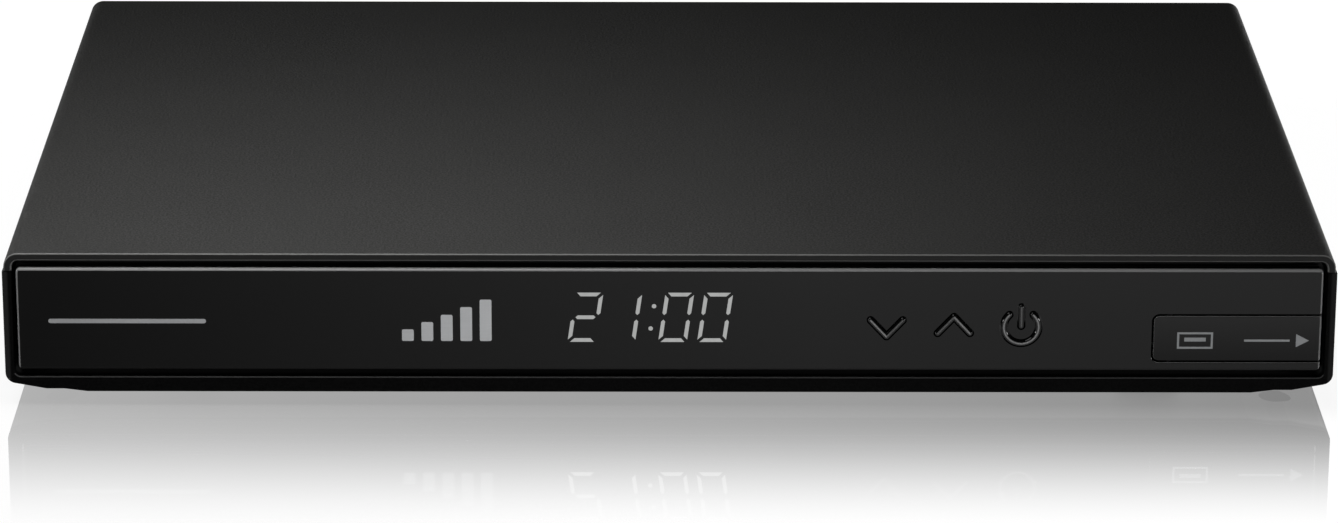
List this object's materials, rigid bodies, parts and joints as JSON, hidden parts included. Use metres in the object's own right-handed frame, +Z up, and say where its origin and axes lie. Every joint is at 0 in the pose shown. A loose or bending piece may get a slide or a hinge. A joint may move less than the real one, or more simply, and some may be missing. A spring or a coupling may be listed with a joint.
{
  "type": "digital multimedia receiver",
  "caption": "Flat set-top receiver with satin cover, gloss black front, clock display, symbol keys, hinged door over a data socket and a rear plate of sockets.",
  "frame": {"origin": "under the middle of the whole part, on the surface that the feet stand on", "axes": "+X right as seen from the front, +Y to the rear, +Z up"},
  "size_m": [0.26, 0.1902, 0.0315],
  "materials": {
    "cover_plastic": "fine grained satin",
    "case_plastic": "fine grained satin",
    "plate_paint": "powder coat",
    "carrier_plastic": "moulded",
    "front_gloss": "polished, smoked",
    "door_gloss": "polished",
    "key_gloss": "polished",
    "pin_steel": "ground",
    "plunger_plastic": "moulded",
    "switch_plastic": "moulded",
    "board_laminate": "solder mask",
    "display_body": "moulded",
    "display_light": "lit diffuser",
    "eye_plastic": "dark lens",
    "header_plastic": "moulded",
    "ribbon_film": "film",
    "socket_nickel": "nickel plate",
    "tongue_plastic": "moulded",
    "tin_sheet": "tin plate",
    "jack_plastic": "moulded",
    "lan_plastic": "moulded",
    "lamp_plastic": "clear lamp",
    "contact_gold": "gold plate",
    "inlet_plastic": "moulded",
    "chip_resin": "resin",
    "pad_rubber": "soft pad",
    "sink_aluminium": "extruded",
    "capacitor_sleeve": "shrink sleeve",
    "coil_ferrite": "ferrite",
    "screw_steel": "zinc plate",
    "foot_rubber": "moulded"
  },
  "bodies": {
    "case": {"top_cover": "cover_plastic", "bottom_case": "case_plastic", "rear_plate": "plate_paint", "front_carrier": "carrier_plastic", "front_panel": "front_gloss", "usb_door_pin": "pin_steel", "key_switches": "switch_plastic", "front_board": "board_laminate", "main_board": "board_laminate", "clock_display": "display_body", "display_segments": "display_light", "remote_eye": "eye_plastic", "front_board_header": "header_plastic", "main_board_header": "header_plastic", "ribbon_cable": "ribbon_film", "usb_socket_shell": "socket_nickel", "usb_socket_tongue": "tongue_plastic", "video_socket_shell": "socket_nickel", "video_socket_tongue": "tongue_plastic", "tuner_can": "tin_sheet", "aerial_input_connector": "socket_nickel", "aerial_loop_connector": "socket_nickel", "aerial_nuts": "socket_nickel", "audio_jack_body": "jack_plastic", "audio_jack_sleeve": "socket_nickel", "lan_socket": "lan_plastic", "lan_lamps": "lamp_plastic", "lan_contacts": "contact_gold", "power_inlet": "inlet_plastic", "power_inlet_pin": "contact_gold", "processor": "chip_resin", "thermal_pad": "pad_rubber", "heat_sink": "sink_aluminium", "memory_chips": "chip_resin", "flash_chip": "chip_resin", "capacitors": "capacitor_sleeve", "power_coils": "coil_ferrite", "clock_crystal": "tin_sheet", "case_screws": "screw_steel", "carrier_screws": "screw_steel", "main_board_screws": "screw_steel", "front_board_screws": "screw_steel", "rear_plate_screws": "screw_steel", "foot_front_left": "foot_rubber", "foot_front_right": "foot_rubber", "foot_rear_left": "foot_rubber", "foot_rear_right": "foot_rubber"},
    "usb_door": {"usb_door": "door_gloss"},
    "power_key": {"power_key": "key_gloss", "power_switch_plunger": "plunger_plastic"},
    "channel_up_key": {"channel_up_key": "key_gloss", "channel_up_switch_plunger": "plunger_plastic"},
    "channel_down_key": {"channel_down_key": "key_gloss", "channel_down_switch_plunger": "plunger_plastic"}
  },
  "joints": [
    {"name": "usb_door_hinge", "type": "hinge", "parent": "case", "child": "usb_door", "pos_m": [0.09775, -0.09377, 0.01445], "axis": [0, 0, -1], "range_deg": [0, 90]},
    {"name": "power_key_press", "type": "slide", "parent": "case", "child": "power_key", "axis": [0, 1, 0], "range_m": [0, 0.0005], "stiffness_N_per_m": 3000},
    {"name": "channel_up_key_press", "type": "slide", "parent": "case", "child": "channel_up_key", "axis": [0, 1, 0], "range_m": [0, 0.0005], "stiffness_N_per_m": 3000},
    {"name": "channel_down_key_press", "type": "slide", "parent": "case", "child": "channel_down_key", "axis": [0, 1, 0], "range_m": [0, 0.0005], "stiffness_N_per_m": 3000}
  ]
}
